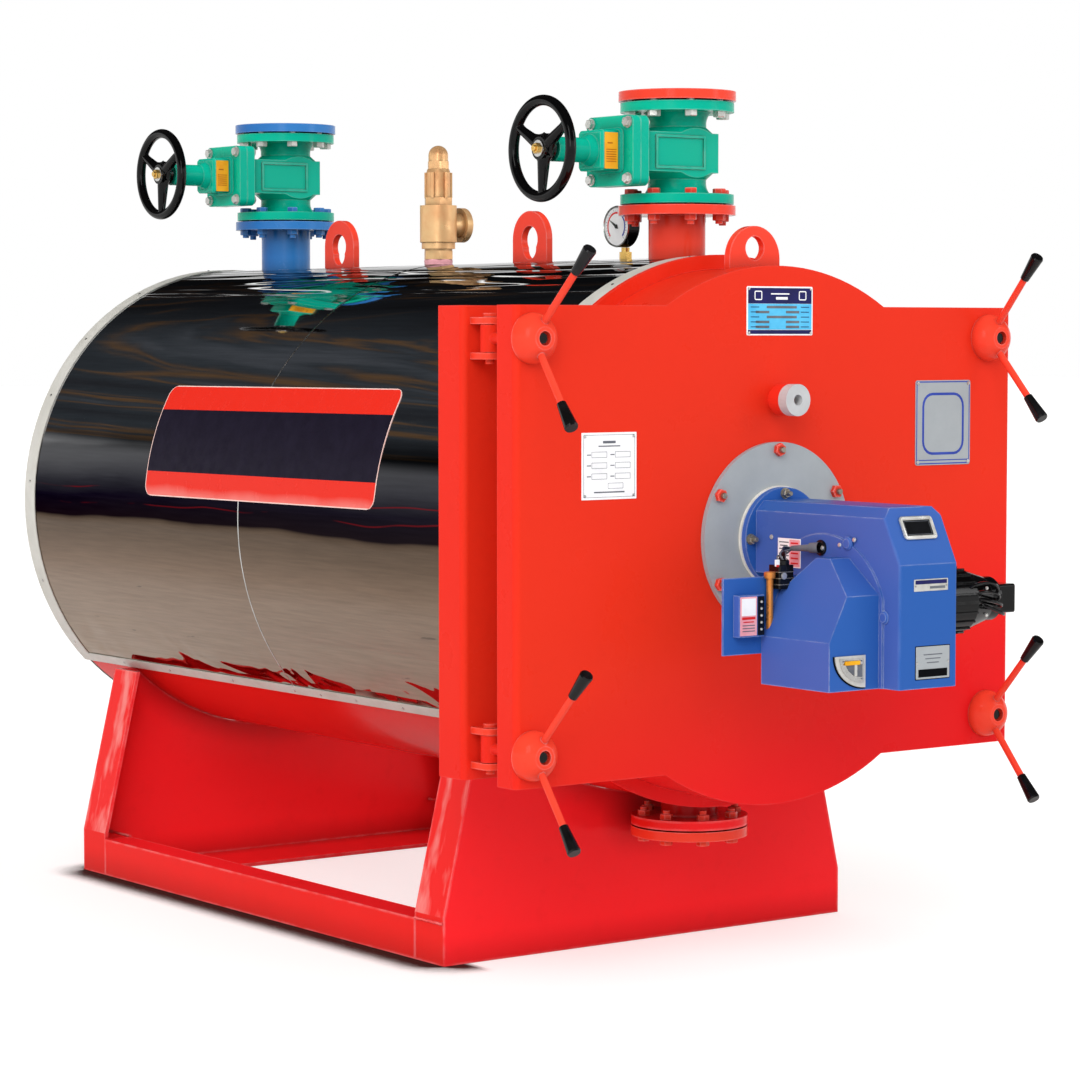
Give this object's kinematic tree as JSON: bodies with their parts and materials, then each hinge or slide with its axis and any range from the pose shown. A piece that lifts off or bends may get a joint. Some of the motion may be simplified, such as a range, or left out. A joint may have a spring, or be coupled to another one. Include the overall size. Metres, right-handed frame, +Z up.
{
  "type": "industrial boiler",
  "caption": "Horizontal fire-tube hot-water boiler on a steel base, with steel cladding, a hinged clamp-handle front door carrying a gas burner, gate valves and safety valve.",
  "frame": {"origin": "on the floor, under the middle of the front saddle plate's web", "axes": "+Y from the front door towards the rear along the barrel, +X to the right seen from the front, +Z up"},
  "size_m": [1.194, 2.5416, 1.631],
  "materials": {
    "bare_steel": "satin",
    "black_paint": "glossy",
    "black_plastic": "glossy",
    "blue_pipe_paint": "glossy",
    "boiler_steel": "matt",
    "brass": "polished",
    "bronze": "satin",
    "burner_blue": "satin",
    "gauge_case": "glossy",
    "green_paint": "glossy",
    "grey_plate": "satin",
    "grey_trim": "satin",
    "red_paint": "glossy",
    "refractory": "matt",
    "seal_black": "matt",
    "seal_white": "matt",
    "stainless": "polished"
  },
  "bodies": {
    "boiler": {"base_beams": "red_paint", "boiler_shell": "red_paint", "cladding": "stainless", "drain_blind_flange": "red_paint", "drain_nozzle": "red_paint", "flange_gaskets": "seal_black", "front_drum": "red_paint", "front_plate": "red_paint", "front_tube_plate": "boiler_steel", "furnace_tube": "boiler_steel", "gauge_cock": "brass", "hinge_lugs": "red_paint", "hinge_pins": "red_paint", "lifting_lugs": "red_paint", "pressure_gauge": "gauge_case", "rear_smoke_box": "red_paint", "rear_tube_plate": "boiler_steel", "return_bonnet": "green_paint", "return_counter_flange": "blue_pipe_paint", "return_nozzle": "blue_pipe_paint", "return_valve_body": "green_paint", "saddle_plates": "red_paint", "safety_valve_body": "bronze", "safety_valve_bonnet": "bronze", "smoke_box_cover": "red_paint", "smoke_tubes": "boiler_steel", "supply_bonnet": "green_paint", "supply_counter_flange": "red_paint", "supply_nozzle": "red_paint", "supply_valve_body": "green_paint", "trim_rings": "grey_trim", "trim_strips": "grey_trim"},
    "door": {"door_panel": "red_paint", "door_lining": "refractory", "eye_bolts": "red_paint", "sight_tube": "grey_plate", "burner_mount_plate": "grey_plate", "burner_gasket": "seal_white", "burner_flange": "burner_blue", "blast_tube": "bare_steel", "burner_housing": "burner_blue", "burner_air_box": "burner_blue", "burner_motor": "black_paint", "burner_bracket": "burner_blue", "burner_control_box": "burner_blue"},
    "clamp_tl": {"clamp_tl": "red_paint", "clamp_knobs_tl": "black_plastic"},
    "clamp_tr": {"clamp_tr": "red_paint", "clamp_knobs_tr": "black_plastic"},
    "clamp_bl": {"clamp_bl": "red_paint", "clamp_knobs_bl": "black_plastic"},
    "clamp_br": {"clamp_br": "red_paint", "clamp_knobs_br": "black_plastic"},
    "supply_wheel": {"supply_handwheel": "black_paint", "supply_stem": "bare_steel"},
    "return_wheel": {"return_handwheel": "black_paint", "return_stem": "bare_steel"}
  },
  "joints": [
    {"name": "door_hinge", "type": "hinge", "parent": "boiler", "child": "door", "pos_m": [-0.557, -0.251, 0.799], "axis": [0, 0, -1], "range_deg": [0, 110]},
    {"name": "clamp_tl_turn", "type": "hinge", "parent": "door", "child": "clamp_tl", "pos_m": [-0.557, -0.396, 1.161], "axis": [0, -1, 0], "range_deg": [0, 360]},
    {"name": "clamp_tr_turn", "type": "hinge", "parent": "door", "child": "clamp_tr", "pos_m": [0.53, -0.396, 1.161], "axis": [0, -1, 0], "range_deg": [0, 360]},
    {"name": "clamp_bl_turn", "type": "hinge", "parent": "door", "child": "clamp_bl", "pos_m": [-0.557, -0.396, 0.437], "axis": [0, -1, 0], "range_deg": [0, 360]},
    {"name": "clamp_br_turn", "type": "hinge", "parent": "door", "child": "clamp_br", "pos_m": [0.53, -0.396, 0.437], "axis": [0, -1, 0], "range_deg": [0, 360]},
    {"name": "supply_wheel_turn", "type": "hinge", "parent": "boiler", "child": "supply_wheel", "pos_m": [-0.318, -0.082, 1.508], "axis": [-1, 0, 0], "continuous": true},
    {"name": "return_wheel_turn", "type": "hinge", "parent": "boiler", "child": "return_wheel", "pos_m": [-0.318, 1.308, 1.515], "axis": [-1, 0, 0], "continuous": true}
  ]
}
